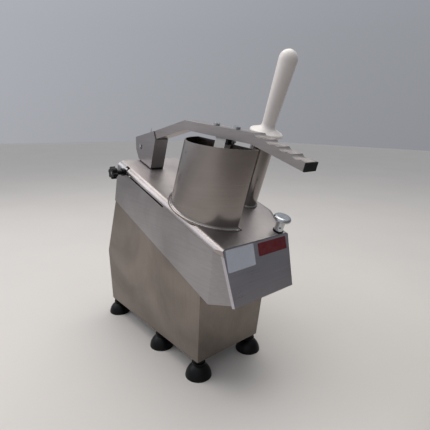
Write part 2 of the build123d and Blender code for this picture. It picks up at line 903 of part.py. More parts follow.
def deck_plate():
    """Deck between the wet chamber and the motor space."""
    slab = block(-far, far, -chute_start, far, deck_top - sheet, deck_top)
    slab += block(casing_half_top, far, -far, far, deck_top - sheet, deck_top)
    plate = hood_form(sheet, True) & slab
    return plate - disc_z(axis_x, 0, deck_top - 10, deck_top + 10, hub_radius + 2)


def bowl():
    """Round wall of the cutting chamber, open towards the nose."""
    z1 = -lid_depth - 2
    ring = disc_z(axis_x, 0, deck_top, z1, bowl_outer)
    ring -= disc_z(axis_x, 0, deck_top - 1, z1 + 1, bowl_radius)
    a = math.radians(bowl_opening / 2)
    wedge = make_face(Polyline((0, 0), (-far * math.tan(a), -far),
                               (far * math.tan(a), -far), close=True))
    ring -= Pos(axis_x, 0, deck_top - 5) * extrude(wedge, amount=far)
    return ring


def chute():
    """Sloping plate that carries the cut food out over the casing's front wall."""
    y0 = -chute_start
    y1 = hood_low[1][0] + chute_end
    z1 = hood_floor(y1) - chute_drop
    z0 = deck_top
    side = [(y0, z0), (y1, z1), (y1 + chute_thickness, z1),
            (y0, z0 - sheet * 2.2)]
    return prism_x(side, -casing_inside, casing_inside)


def bearing_housing():
    """Flanged cast housing under the deck."""
    top = deck_top - sheet
    body = disc_z(axis_x, 0, top - 6, top, housing_radius + 16)
    body += disc_z(axis_x, 0, top - housing_length, top, housing_radius)
    foot = [e for e in body.edges().filter_by(GeomType.CIRCLE)
            if abs(e.center().Z - (top - 6)) < 0.01 and abs(e.radius - housing_radius) < 0.01]
    body = fillet(foot, 4)
    body += disc_z(axis_x, 0, top, deck_top + 3, hub_radius + 2)
    body -= disc_z(axis_x, 0, -far, far, bearing_outer - 4)
    for z0, z1 in bearing_places():
        body -= disc_z(axis_x, 0, z0, z1, bearing_outer + running_gap)
    body -= disc_z(axis_x, 0, top - housing_length - 1, bearing_places()[0][0],
                   bearing_outer + running_gap)
    body -= disc_z(axis_x, 0, bearing_places()[1][1], far, bearing_outer - 2)
    return body


def bearing_places():
    """Lower and upper bearing, as heights."""
    top = deck_top - sheet
    low = top - housing_length + 3
    high = top - bearing_width - 6
    return ((low, low + bearing_width), (high, high + bearing_width))


def bearings():
    """Two ball bearings shown as their rings."""
    rings = []
    for z0, z1 in bearing_places():
        ring = disc_z(axis_x, 0, z0, z1, bearing_outer)
        ring -= disc_z(axis_x, 0, z0 - 1, z1 + 1, shaft_radius + running_gap)
        for z in (z0 - 1, z1 - 1):
            groove = disc_z(axis_x, 0, z, z + 2, bearing_outer - 3)
            groove -= disc_z(axis_x, 0, z - 1, z + 3, shaft_radius + 3)
            ring -= groove
        rings.append(ring)
    return group(*rings)


def shaft_seal():
    """Rubber lip seal at the mouth of the housing."""
    z0 = bearing_places()[1][1] + 1
    seal = disc_z(axis_x, 0, z0, z0 + 7, bearing_outer - 2 - running_gap)
    return seal - disc_z(axis_x, 0, z0 - 1, z0 + 8, shaft_radius + running_gap)


# cutter: everything that turns with the main shaft


def drive_shaft():
    """Stepped main shaft with a square drive under the cutting disc."""
    low = -pulley_level - 4
    shaft = disc_z(axis_x, 0, low, -shaft_top, shaft_radius)
    flat = block(axis_x - 6, axis_x + 6, -6, 6, -shaft_top, -disc_level)
    return shaft + flat


def ejector_disc():
    """Thin plastic disc with curved vanes that sweep the food out."""
    z0 = -ejector_level - ejector_thickness
    disc = disc_z(axis_x, 0, z0, -ejector_level, ejector_radius)
    disc += disc_z(axis_x, 0, z0, -ejector_level + vane_height, hub_radius)
    for i in range(4):
        start = Vector(hub_radius - 2, 0)
        mid = Vector(ejector_radius * 0.62, ejector_radius * 0.12)
        end = Vector(ejector_radius - 3, -ejector_radius * 0.02)
        path = ThreePointArc(start, mid, end)
        vane = trace(path, line_width=4)
        vane = extrude(vane, amount=vane_height)
        disc += Pos(axis_x, 0, -ejector_level) * Rot(0, 0, 90 * i + 20) * vane
    return disc - disc_z(axis_x, 0, -far, 0, shaft_radius)


def blade_slot(i, grow):
    """The window in the disc in front of one blade."""
    inner = hub_radius + 4 - grow
    outer = disc_radius - 8 + grow
    length = outer - inner
    window = Pos((inner + outer) / 2, -3) * Rectangle(length, 16 + 2 * grow)
    return Rot(0, 0, 360 / blade_count * i) * window


def cutting_disc():
    """Slicing disc: rim, hub and a window in front of each blade."""
    z1 = -disc_level
    z0 = z1 - disc_thickness
    disc = disc_z(axis_x, 0, z0, z1, disc_radius)
    for i in range(blade_count):
        disc -= Pos(axis_x, 0, z0 - 1) * extrude(blade_slot(i, 0), amount=disc_thickness + 3)
    return disc - block(axis_x - 6, axis_x + 6, -6, 6, -far, far)


def disc_hub():
    """Hub that lifts the cutting disc above the ejector and takes the shaft's drive."""
    hub = disc_z(axis_x, 0, -ejector_level + vane_height, -disc_level - disc_thickness, hub_radius)
    hub -= disc_z(axis_x, 0, -far, -shaft_top, shaft_radius)
    return hub - block(axis_x - 6, axis_x + 6, -6, 6, -far, far)


def blades():
    """Ground steel blades, each tilted up over its window."""
    parts = []
    z1 = -disc_level
    inner = hub_radius + 4
    outer = disc_radius - 8
    for i in range(blade_count):
        side = [(5.0, -disc_thickness), (5.0, 0), (-7.0, blade_rise + 0.4), (-7.6, blade_rise),
                (2.0, -disc_thickness)]
        blade = prism_x(side, inner, outer)
        parts.append(Pos(axis_x, 0, z1) * Rot(0, 0, 360 / blade_count * i) * blade)
    return group(*parts)


def driven_pulley():
    """Large belt pulley with flanges and a web."""
    z0 = -pulley_level
    z1 = z0 + pulley_width
    wheel = disc_z(axis_x, 0, z0, z1, pulley_radius)
    edge = (pulley_width - belt_width) / 2 - seam_gap
    for a, b in ((z0, z0 + edge), (z1 - edge, z1)):
        wheel += disc_z(axis_x, 0, a, b, pulley_radius + pulley_flange)
    web = disc_z(axis_x, 0, z0 - 1, z0 + 5, pulley_radius - 6) - disc_z(
        axis_x, 0, z0 - 2, z0 + 6, 18)
    wheel -= web
    wheel -= Pos(0, 0, pulley_width - 4) * web
    for i in range(5):
        a = math.radians(72 * i)
        r = (pulley_radius + 12) / 2
        wheel -= disc_z(axis_x + r * math.cos(a), r * math.sin(a), z0 - 1, z1 + 1, 11)
    return wheel - disc_z(axis_x, 0, z0 - 2, z1 + 2, shaft_radius)


def motor_pulley():
    """Small flanged pulley on the motor shaft."""
    z0 = -pulley_level
    z1 = z0 + pulley_width
    y = motor_offset
    edge = (pulley_width - belt_width) / 2 - seam_gap
    wheel = disc_z(axis_x, y, z0, z1, motor_pulley_radius)
    for a, b in ((z0, z0 + edge), (z1 - edge, z1)):
        wheel += disc_z(axis_x, y, a, b, motor_pulley_radius + pulley_flange)
    return wheel - disc_z(axis_x, y, z0 - 2, z1 + 2, motor_shaft_radius)


def belt_loop(grow, z0, z1):
    """The band round both pulleys, as a filled plate."""
    r1 = pulley_radius + belt_gap + grow
    r2 = motor_pulley_radius + belt_gap + grow
    tilt_angle = math.asin((r1 - r2) / motor_offset)
    c = math.cos(tilt_angle)
    s = math.sin(tilt_angle)
    sides = make_face(Polyline((r1 * c, r1 * s), (r2 * c, motor_offset + r2 * s),
                               (-r2 * c, motor_offset + r2 * s), (-r1 * c, r1 * s), close=True))
    plate = sides + Circle(r1) + Pos(0, motor_offset) * Circle(r2)
    return Pos(axis_x, 0, z0) * extrude(plate, amount=z1 - z0)


def drive_belt():
    """Ribbed rubber belt between the pulleys."""
    z0 = -pulley_level + (pulley_width - belt_width) / 2
    z1 = z0 + belt_width
    return belt_loop(belt_thickness, z0, z1) - belt_loop(0, z0 - 1, z1 + 1)


# motor


def drive_plate():
    """Plate across the casing that carries the motor."""
    z1 = -drive_plate_level
    z0 = z1 - drive_plate_thickness
    y0 = motor_offset - drive_plate_front
    y1 = motor_offset + drive_plate_rear
    half = casing_inside
    edge = 2 * sheet
    plate = block(-half, half, y0, y1, z0, z1)
    for x0 in (-half, half - edge):
        plate += block(x0, x0 + edge, y0, y1, z0 - drive_plate_flange, z0)
    return plate - disc_z(axis_x, motor_offset, z0 - 1, z1 + 1, drive_plate_hole)


def motor_housing():
    """Finned motor body hanging under its plate."""
    z1 = -drive_plate_level - drive_plate_thickness
    z0 = z1 - motor_length
    y = motor_offset
    rim = z1 - motor_flange_thickness
    body = disc_z(axis_x, y, z0, z1, motor_radius)
    body += disc_z(axis_x, y, rim, z1, motor_radius + motor_flange)
    half = fin_thickness / 2
    for i in range(fin_count):
        fin = block(motor_radius - 2, motor_radius + fin_height, -half, half, z0 + 14, rim - 8)
        body += Pos(axis_x, y, 0) * Rot(0, 0, 360 / fin_count * i) * fin
    return body - disc_z(axis_x, y, -far, 0, motor_shaft_radius + 1)


def motor_cowl():
    """Fan cowl on the lower end of the motor, with slots for air."""
    z1 = -drive_plate_level - drive_plate_thickness - motor_length
    z0 = z1 - motor_cowl_length
    y = motor_offset
    cowl = disc_z(axis_x, y, z0, z1, motor_radius)
    cowl = fillet(cowl.edges().group_by(Axis.Z)[0], 6)
    cowl -= disc_z(axis_x, y, z0 + 2, z1 + 1, motor_radius - 2)
    for i in range(8):
        slot = Pos(cowl_slot_radius, 0) * SlotOverall(cowl_slot_length, cowl_slot_width)
        cowl -= Pos(axis_x, y, z0 - 1) * Rot(0, 0, 45 * i) * extrude(slot, amount=4)
    return cowl


def motor_shaft():
    """Motor shaft from the fan up to the pulley."""
    z0 = -drive_plate_level - drive_plate_thickness - motor_length - fan_gap - fan_depth
    return disc_z(axis_x, motor_offset, z0, -pulley_level + pulley_width + 3, motor_shaft_radius)


def cooling_fan():
    """Fan on the lower end of the motor shaft."""
    z1 = -drive_plate_level - drive_plate_thickness - motor_length - fan_gap
    z0 = z1 - fan_depth
    y = motor_offset
    fan = disc_z(axis_x, y, z0, z1, fan_hub_radius)
    fan += disc_z(axis_x, y, z1 - 2, z1, motor_radius - fan_disc_inset)
    for i in range(8):
        blade = block(fan_hub_radius - 4, motor_radius - fan_blade_inset, -1, 1, z0, z1)
        fan += Pos(axis_x, y, 0) * Rot(0, 0, 45 * i) * blade
    return fan - disc_z(axis_x, y, -far, 0, motor_shaft_radius)


# lower casing


def casing_form(inset, z0):
    """The lower casing as one closed form, set in by a wall."""
    half_low = casing_half_bottom - inset
    half_top = casing_half_top - inset
    front = casing_front + inset
    rear = casing_rear - inset
    fold_front = front - casing_front_lean
    length_low = rear - front
    length_top = rear - fold_front
    low = Pos(0, (rear + front) / 2, z0) * Rectangle(2 * half_low, length_low)
    top = Pos(0, (rear + fold_front) / 2, casing_fold_z) * Rectangle(2 * half_top, length_top)
    form = loft([low, top])
    corner = (TILT * Pos(0, hood_low[0][0] - sheet, hood_low[0][1])).position
    y1 = corner.Y - inset
    z1 = corner.Z
    rise = 60.0
    y2 = y1 - rise * (rear - y1) / (z1 - casing_fold_z)
    side = [(fold_front, casing_fold_z), (rear, casing_fold_z), (y1, z1), (y2, z1 + rise),
            (fold_front, z1 + rise)]
    return form + prism_x(side, -half_top, half_top)


def base_casing():
    """Folded lower casing, open below and under the hood."""
    body = casing_form(0, foot_height) - casing_form(sheet, foot_height - 0.01)
    y0 = hood_low[0][0] + casing_over_hood
    y1 = hood_low[1][0] + sill_length
    y2 = hood_low[1][0] - casing_over_hood
    over = [(y0, hood_floor(y0) + casing_lap), (y2, hood_floor(y2) + casing_lap), (y2, far),
            (y0, far)]
    body -= TILT * prism_x(over, -far, far)
    drop = chute_drop + seam_gap
    sill = [(y1, hood_floor(y1) - drop), (y2, hood_floor(y2) - drop), (y2, far),
            (y1, far)]
    body -= TILT * prism_x(sill, -casing_inside, casing_inside)
    gland = Pos(gland_x, casing_rear, gland_z) * Rot(90, 0, 0)
    body -= gland * Cylinder(gland_thread_radius + running_gap, 20)
    for z in button_heights():
        hole = Pos(casing_half_bottom, button_y, z) * Rot(0, 90, 0) * Cylinder(
            button_radius + 3, 30)
        body -= hole
    return body


def base_plate():
    """Bottom cover with cooling slots."""
    t = base_plate_thickness
    plate = Pos(0, 0, foot_height + t / 2) * Box(
        2 * (casing_half_bottom - sheet), casing_length - 2 * sheet, t)
    slot = extrude(SlotOverall(vent_length, vent_width), amount=t + 2)
    for i in range(vent_count):
        for x in (-vent_x, vent_x):
            plate -= Pos(x, vent_start + vent_pitch * i, foot_height - 1) * slot
    for x, y in foot_places():
        plate -= disc_z(x, y, 0, 60, foot_stud_radius + running_gap)
    return plate


def foot_places():
    """Centres of the six feet."""
    x = casing_half_bottom - foot_inset
    y = casing_length / 2 - foot_inset
    return [(side * x, place) for side in (-1, 1) for place in (-y, foot_middle_y, y)]


def foot():
    """Rubber suction foot: flared skirt, dome and a ringed neck."""
    r0 = foot_base_radius
    rn = foot_neck_radius
    h = foot_height
    with BuildSketch(Plane.XZ) as half:
        with BuildLine():
            Polyline((0, 6), (r0 - 9, 4), (r0 - 2, 0), (r0, 0), (r0, 2))
            ThreePointArc((r0, 2), (r0 * 0.8, h * 0.42), (rn, h * 0.66))
            Polyline((rn, h * 0.66), (rn + 1.5, h * 0.72), (rn + 1.5, h * 0.8), (rn - 1, h * 0.82),
                     (rn - 1, h * 0.88), (rn + 0.5, h * 0.9), (rn + 0.5, h), (0, h), (0, 6))
        make_face()
    return revolve(half.sketch, Axis.Z)


def feet():
    """Six feet, with a blind hole for each stud."""
    one = foot() - disc_z(0, 0, foot_height - foot_stud_depth, foot_height + 1, foot_stud_radius)
    return group(*[Pos(x, y, 0) * one for x, y in foot_places()])


def foot_studs():
    """Studs from the feet through the base plate, with their nuts."""
    t = base_plate_thickness
    studs = []
    for x, y in foot_places():
        low = foot_height - foot_stud_depth
        stud = disc_z(x, y, low, foot_height + t + foot_stud_rise, foot_stud_radius)
        nut = extrude(RegularPolygon(foot_nut_radius, 6), amount=foot_nut_height)
        nut = Pos(x, y, foot_height + t) * nut
        studs.append(stud + nut)
    return group(*studs)


def button_heights():
    """Heights of the start and stop buttons."""
    return (button_z + button_spacing / 2, button_z - button_spacing / 2)


def side_x(z):
    """Outer face of the casing's side at a height."""
    share = (z - foot_height) / (casing_fold_z - foot_height)
    return casing_half_bottom + (casing_half_top - casing_half_bottom) * share


def button_place():
    """Where the buttons' frame sits: on the leaning side, its length upright."""
    rise = casing_fold_z - foot_height
    side_lean = math.degrees(math.atan(casing_side_lean / rise))
    return Pos(side_x(button_z) + 0.1, button_y, button_z) * Rot(0, 90 + side_lean, 0)


def button_frame():
    """Black frame of the two push buttons, on the right side."""
    t = button_frame_thickness
    frame = Pos(0, 0, t / 2) * Box(button_spacing + 2 * button_frame_end, button_frame_width, t)
    frame = fillet(frame.edges().filter_by(Axis.Z), 6)
    frame = fillet(frame.edges().group_by(Axis.Z)[-1], 1.5)
    length = button_guide_length
    for side in (-1, 1):
        place = Pos(side * button_spacing / 2, 0, 0)
        outer = button_radius + button_guide_wall
        frame += place * Pos(0, 0, 0.5 - length / 2) * Cylinder(outer, length)
        frame -= place * Pos(0, 0, -2) * Cylinder(button_radius + side_gap, 26)
        frame += place * Pos(0, 0, 1.5 - length) * Cylinder(button_radius + 1, 2)
    return button_place() * frame


def button(side):
    """One push button with a slightly domed cap."""
    cap = Pos(0, 0, -3) * Cylinder(button_radius, 16)
    cap = fillet(cap.edges().group_by(Axis.Z)[-1], 1.5)
    return button_place() * Pos(side * button_spacing / 2, 0, 0) * cap


def cable_gland():
    """Cable gland in the rear wall, with no cable in it."""
    place = Pos(gland_x, casing_rear, gland_z) * Rot(-90, 0, 0)
    hexagon = extrude(RegularPolygon(gland_radius, 6), amount=6)
    body = Pos(0, 0, 3) * hexagon + Pos(0, 0, 1.5) * Cylinder(gland_radius + 1, 3)
    body += Pos(0, 0, gland_length - 5) * Cylinder(gland_cap_radius, 10)
    body += Pos(0, 0, -6) * Cylinder(gland_thread_radius, 12)
    body += Pos(0, 0, -sheet - 4) * extrude(RegularPolygon(gland_radius - 1, 6), amount=4)
    return place * (body - Cylinder(gland_bore, 80))


def capacitor():
    """Motor capacitor clipped to the base plate."""
    z = foot_height + base_plate_thickness
    place = Pos(can_x, can_y, z + can_radius + 2) * Rot(90, 0, 0)
    half = can_radius + clip_wall
    clip = block(can_x - half, can_x + half, can_y - clip_width / 2, can_y + clip_width / 2,
                 z, z + can_radius + 4)
    clip -= place * Cylinder(can_radius, can_length)
    return place * Cylinder(can_radius, can_length) + clip


def control_box():
    """Box of the contactor and motor protection, with a seam for its cover."""
    z = foot_height + base_plate_thickness
    place = Pos(box_x, box_y, z)
    box = place * Pos(0, 0, box_height / 2) * Box(box_width, box_length, box_height)
    box = fillet(box.edges().filter_by(Axis.Z), 4)
    seam = Box(box_width + 4, box_length + 4, 1) - Box(box_width - 2, box_length - 2, 1)
    return box - place * Pos(0, 0, box_seam + 0.5) * seam


def lid_switch():
    """Safety switch under the lid's front that senses the lock stem."""
    y = lid_front + lock_from_front
    top = -sheet * 2 - seam_gap
    half = switch_width / 2
    x = lock_x - switch_setback
    return block(x - half, x + half, y - half + 2, y + half + 2, top - switch_height, top)


def build_all():
    """Every node of the machine, written to its own file."""
    os.makedirs("parts", exist_ok=True)
    level = {
        "base_casing": base_casing(),
        "base_plate": base_plate(),
        "feet": feet(),
        "foot_studs": foot_studs(),
        "start_stop_frame": button_frame(),
        "start_button": button(-1),
        "stop_button": button(1),
        "cable_gland": cable_gland(),
        "capacitor": capacitor(),
        "control_box": control_box(),
    }
    tilted = {
        "hood": hood(),
        "front_panel": front_panel(),
        "deck_plate": deck_plate(),
        "chamber_wall": bowl(),
        "discharge_chute": chute(),
        "bearing_housing": bearing_housing(),
        "ball_bearings": bearings(),
        "shaft_seal": shaft_seal(),
        "drive_plate": drive_plate(),
        "motor_housing": motor_housing(),
        "motor_fan_cowl": motor_cowl(),
        "drive_belt": drive_belt(),
        "hinge_nut": hinge_nut(),
        "catch_nut": catch_nut(),
        "lid_switch": lid_switch(),
        "lid": lid_top(),
        "lid_rim": lid_rim(),
        "lid_hinge_lugs": hinge_lugs(),
        "hopper": hopper(),
        "feed_tube": feed_tube(),
        "lever_post": lever_post(),
        "post_gasket": post_gasket(),
        "post_screws": post_screws(),
        "lever_pivot_pin": pivot_pin(),
        "lock_washer": lock_washer_ring(),
        "hinge_rod": hinge_rod(),
        "hinge_knob": hinge_knob(),
        "lock_knob": lock_knob(),
        "lock_stem": lock_stem(),
        "lever": lever(),
        "lever_end_plug": end_plug(),
        "lever_bolts": lever_bolts(),
        "pusher_stem": pusher_stem(),
        "pusher_plate": pusher_plate(),
        "magnet_block": magnet_block(),
        "pestle": pestle(),
        "drive_shaft": drive_shaft(),
        "ejector_disc": ejector_disc(),
        "cutting_disc": cutting_disc(),
        "disc_hub": disc_hub(),
        "disc_blades": blades(),
        "driven_pulley": driven_pulley(),
        "motor_shaft": motor_shaft(),
        "motor_pulley": motor_pulley(),
        "cooling_fan": cooling_fan(),
    }
    for name, shape in level.items():
        save(name, shape)
    for name, shape in tilted.items():
        save(name, TILT * shape)


build_all()
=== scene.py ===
import math

import bmesh
import bpy
from mathutils import Matrix, Vector


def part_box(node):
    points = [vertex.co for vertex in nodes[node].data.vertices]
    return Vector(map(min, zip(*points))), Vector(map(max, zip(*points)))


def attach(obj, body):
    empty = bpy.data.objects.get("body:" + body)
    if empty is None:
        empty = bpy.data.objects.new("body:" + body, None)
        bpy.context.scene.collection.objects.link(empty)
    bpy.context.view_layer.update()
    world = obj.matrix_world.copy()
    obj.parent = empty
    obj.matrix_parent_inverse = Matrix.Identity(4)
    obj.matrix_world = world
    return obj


# The machine's solids come in from the CAD frame, in metres. The table is at height 0, the
# discharge nose points to -Y, and the lever's side of the hopper is on the left.
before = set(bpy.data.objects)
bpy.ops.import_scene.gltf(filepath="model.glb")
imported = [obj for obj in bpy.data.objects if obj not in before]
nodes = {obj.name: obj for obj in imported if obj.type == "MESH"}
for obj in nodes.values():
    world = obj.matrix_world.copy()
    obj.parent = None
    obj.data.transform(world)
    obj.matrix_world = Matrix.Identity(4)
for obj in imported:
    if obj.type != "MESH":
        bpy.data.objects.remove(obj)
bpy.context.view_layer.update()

# Camera: held in front of the machine and to its left, a little above the hopper. It is
# turned to the right, tipped down and rolled slightly, as in the photograph.
CAMERA_PLACE = (-0.49105, -0.60644, 0.50544)
CAMERA_TURN = math.radians(41.18)
CAMERA_DOWN = math.radians(13.83)
CAMERA_ROLL = math.radians(1.01)
CAMERA_LENS = 30.66
CAMERA_SENSOR = 36
camera = bpy.data.objects.new("camera", bpy.data.cameras.new("camera"))
bpy.context.collection.objects.link(camera)
camera.data.sensor_width = CAMERA_SENSOR
camera.data.lens = CAMERA_LENS
camera.data.clip_start = 0.01
camera.matrix_world = (Matrix.Translation(CAMERA_PLACE)
                       @ Matrix.Rotation(-CAMERA_TURN, 4, "Z")
                       @ Matrix.Rotation(math.pi / 2 - CAMERA_DOWN, 4, "X")
                       @ Matrix.Rotation(CAMERA_ROLL, 4, "Z"))
bpy.context.scene.camera = camera
bpy.context.scene.view_settings.view_transform = "Standard"

# Floor: an off-white, satin laminate table top with faint patches of about 450 mm. In front
# of the machine, where the real table ends, it turns softly to a greyer floor.
FLOOR_REACH = 9.0
FLOOR_PATCH_MM = 455
FLOOR_COLOURS = ("#C2BDB8", "#CCC7C1")
FLOOR_BEYOND_TABLE = "#746E69"
TABLE_FRONT = -0.38
TABLE_FADE = 0.45


def rgb(code):
    """An sRGB hex code as Blender's linear colour."""
    parts = [int(code[i:i + 2], 16) / 255 for i in (1, 3, 5)]
    return [c / 12.92 if c < 0.04045 else ((c + 0.055) / 1.055) ** 2.4 for c in parts] + [1]


def per_metre(mm):
    """The texture scale whose features have this size in millimetres."""
    return 1000 / mm


def add(owner, kind, links=(), **values):
    """A shader node with its settings and inputs, and its incoming links."""
    node = owner.node_tree.nodes.new(kind)
    for key, value in values.items():
        if key[0].islower():
            setattr(node, key, value)
        else:
            node.inputs[key.replace("_", " ")].default_value = value
    for socket, source in links:
        owner.node_tree.links.new(source, node.inputs[socket])
    return node


def start(name):
    """A new material, its surface shader, and the place on the piece that it colours."""
    mat = bpy.data.materials.new(name)
    mat.use_nodes = True
    place = add(mat, "ShaderNodeTexCoord").outputs["Object"]
    return mat, mat.node_tree.nodes["Principled BSDF"], place


def blend(mat, share, first, second):
    """A mix of two colours by a share from 0 to 1. The first may be a link."""
    mix = add(mat, "ShaderNodeMix", [("Factor", share)], data_type="RGBA")
    if isinstance(first, str):
        mix.inputs[6].default_value = rgb(first)
    else:
        mat.node_tree.links.new(first, mix.inputs[6])
    mix.inputs[7].default_value = rgb(second)
    return mix.outputs[2]


mesh = bpy.data.meshes.new("floor")
mesh.from_pydata([(-FLOOR_REACH, -FLOOR_REACH, 0), (FLOOR_REACH, -FLOOR_REACH, 0),
                  (FLOOR_REACH, FLOOR_REACH, 0), (-FLOOR_REACH, FLOOR_REACH, 0)],
                 [], [(0, 1, 2, 3)])
floor = bpy.data.objects.new("floor", mesh)
bpy.context.collection.objects.link(floor)
laminate, shader, place = start("floor_laminate")
patches = add(laminate, "ShaderNodeTexNoise", [("Vector", place)],
              Scale=per_metre(FLOOR_PATCH_MM), Detail=4.0)
table = blend(laminate, patches.outputs["Fac"], *FLOOR_COLOURS)
spot = add(laminate, "ShaderNodeSeparateXYZ", [("Vector", place)])
past = add(laminate, "ShaderNodeMath", [(1, spot.outputs["Y"])], operation="SUBTRACT")
past.inputs[0].default_value = TABLE_FRONT
beyond = add(laminate, "ShaderNodeMapRange", [("Value", past.outputs[0])],
             interpolation_type="SMOOTHSTEP", From_Min=0.0, From_Max=TABLE_FADE)
ground = blend(laminate, beyond.outputs["Result"], table, FLOOR_BEYOND_TABLE)
laminate.node_tree.links.new(ground, shader.inputs["Base Color"])
shader.inputs["Roughness"].default_value = 0.5
mesh.materials.append(laminate)

# Room: grey-blue painted walls, paler on the left and darker on the right, under a pale
# ceiling, with a dimmer doorway in front of the machine. It is the same for every ray.
WALL_TO_CEILING = ((0.0, "#AEB0B6"), (0.35, "#B6B9C0"), (0.6, "#C3C8D0"), (1.0, "#E4E6EA"))
LEFT_STRENGTH, RIGHT_STRENGTH = 1.3, 0.6
DOORWAY_TOWARDS = (0.33, -0.94, -0.1)
DOORWAY_STRENGTH = 0.5
world = bpy.data.worlds.new("room")
bpy.context.scene.world = world
world.use_nodes = True
world.node_tree.nodes.clear()
direction = add(world, "ShaderNodeTexCoord").outputs["Generated"]
split = add(world, "ShaderNodeSeparateXYZ", [("Vector", direction)])
height = add(world, "ShaderNodeMapRange", [("Value", split.outputs["Z"])],
             From_Min=-0.15, From_Max=0.9)
paint = add(world, "ShaderNodeValToRGB", [("Fac", height.outputs["Result"])])
ramp = paint.color_ramp.elements
ramp[0].color = rgb(WALL_TO_CEILING[0][1])
ramp[1].color = rgb(WALL_TO_CEILING[-1][1])
for share, code in WALL_TO_CEILING[1:-1]:
    ramp.new(share).color = rgb(code)
side = add(world, "ShaderNodeMapRange", [("Value", split.outputs["X"])],
           From_Min=-1.0, From_Max=1.0, To_Min=LEFT_STRENGTH, To_Max=RIGHT_STRENGTH)
towards = add(world, "ShaderNodeVectorMath", [(0, direction)], operation="DOT_PRODUCT")
towards.inputs[1].default_value = DOORWAY_TOWARDS
doorway = add(world, "ShaderNodeMapRange", [("Value", towards.outputs["Value"])],
              interpolation_type="SMOOTHSTEP", From_Min=0.15, From_Max=0.9,
              To_Min=1.0, To_Max=DOORWAY_STRENGTH)
dimmed = add(world, "ShaderNodeMath", [(0, side.outputs["Result"]),
                                       (1, doorway.outputs["Result"])],
             operation="MULTIPLY")
shown = add(world, "ShaderNodeBackground", [("Color", paint.outputs["Color"]),
                                            ("Strength", dimmed.outputs[0])])
add(world, "ShaderNodeOutputWorld", [("Surface", shown.outputs[0])])

# Lamps: a weak window behind on the left, and a wide ceiling panel over the table, a little
# to the right. Each is a square light given by place, aim, side in metres, watts and tint.
for name, at, aim, width, watts, tint in (
        ("window", (-1.1, 1.3, 1.4), (0, 0, 0.25), 1.3, 13, "#F4F4F8"),
        ("ceiling", (0.3, 0.3, 2.4), (0, 0, 0.2), 2.2, 35, "#FFFCF7")):
    lamp = bpy.data.lights.new(name, "AREA")
    lamp.size = width
    lamp.energy = watts
    lamp.color = rgb(tint)[:3]
    holder = bpy.data.objects.new(name, lamp)
    bpy.context.collection.objects.link(holder)
    holder.location = at
    holder.rotation_euler = (Vector(aim) - Vector(at)).to_track_quat("-Z", "Y").to_euler()

# Lower casing and base plate: folded sheets of 304 stainless, brushed up and down, darker in
# strong blotches at random. Their tint is darker than the steel's own colour: painted shade.
# The base plate closes the casing between its sills.
WIPE_MARK_MM = 111
# Size and colour of the darker blotches at random on the metal.
DARK_BLOTCH_MM = 182
DARK_BLOTCH_COLOUR = "#57504B"
BRUSH_DEPTH = 0.0006
CASING_BRUSH_MM = (2.63, 2.63, 111)


def steel(name, tint, rough, brush_mm, marks=0.06, lift=0.035, blotching=0.12):
    """Satin metal: brush lines of this size along x, y and z, wiping marks, and darker
    blotches.

    Real brush lines are about 0.1 mm apart. That is too fine to show, so they are drawn
    about 1 to 3 mm apart. Turned and cast metal has the same size along all three.
    """
    mat, shader, place = start(name)
    links = mat.node_tree.links
    stretch = add(mat, "ShaderNodeMapping", [("Vector", place)],
                  Scale=[per_metre(mm) for mm in brush_mm])
    brush = add(mat, "ShaderNodeTexNoise", [("Vector", stretch.outputs[0])],
                Scale=1.0, Detail=3.0, Roughness=0.65)
    wipe = add(mat, "ShaderNodeTexNoise", [("Vector", place)],
               Scale=per_metre(WIPE_MARK_MM), Detail=4.0, Distortion=0.4)
    level = add(mat, "ShaderNodeMapRange", [("Value", wipe.outputs["Fac"])],
                From_Min=0.3, From_Max=0.7, To_Min=rough - marks, To_Max=rough + marks)
    fine = add(mat, "ShaderNodeMath", [(0, brush.outputs["Fac"]), (2, level.outputs["Result"])],
               operation="MULTIPLY_ADD")
    fine.inputs[1].default_value = marks
    links.new(fine.outputs[0], shader.inputs["Roughness"])
    shade = add(mat, "ShaderNodeMapRange", [("Value", brush.outputs["Fac"])],
                From_Min=0.25, From_Max=0.75, To_Min=0.9, To_Max=1.04)
    lined = add(mat, "ShaderNodeMix", [(7, shade.outputs["Result"])], data_type="RGBA",
                blend_type="MULTIPLY", Factor=1.0)
    lined.inputs[6].default_value = rgb(tint)
    # Darker blotches at random, mixed towards a dark brown-grey up to the blotching share.
    blotches = add(mat, "ShaderNodeTexNoise", [("Vector", place)],
                Scale=per_metre(DARK_BLOTCH_MM), Detail=5.0, Roughness=0.55, Distortion=0.5)
    amount = add(mat, "ShaderNodeMapRange", [("Value", blotches.outputs["Fac"])],
                 From_Min=0.38, From_Max=0.66, To_Min=0.0, To_Max=blotching)
    blotched = blend(mat, amount.outputs["Result"], lined.outputs[2], DARK_BLOTCH_COLOUR)
    links.new(blotched, shader.inputs["Base Color"])
    relief = add(mat, "ShaderNodeBump", [("Height", brush.outputs["Fac"])],
                 Strength=lift, Distance=BRUSH_DEPTH)
    links.new(relief.outputs[0], shader.inputs["Normal"])
    shader.inputs["Metallic"].default_value = 1.0
    shader.inputs["Anisotropic"].default_value = 0.35
    return mat


def dress(mat, *names):
    """Puts a material on carried-over nodes."""
    for name in names:
        nodes[name].data.materials.clear()
        nodes[name].data.materials.append(mat)


# Painted shade: the casing's tint #8C837C is darker than the steel's own colour, and its
# blotching is strong.
dress(steel("casing_steel_painted_shade", "#8C837C", 0.34, CASING_BRUSH_MM, blotching=0.55),
      "base_casing", "base_plate")

# Feet: six suction feet of soft black rubber with ringed necks, moulded, nearly matt and
# hardly dusty. A turned steel stud with nuts holds each under the base plate.
RUBBER_GRAIN_MM = 1.11
TURNED_GRAIN_MM = (16.7, 16.7, 16.7)
DUST_CLOUD_MM = 38.5
DUST_COLOUR = "#4A4B4D"
GRAIN_DEPTH = 0.0004


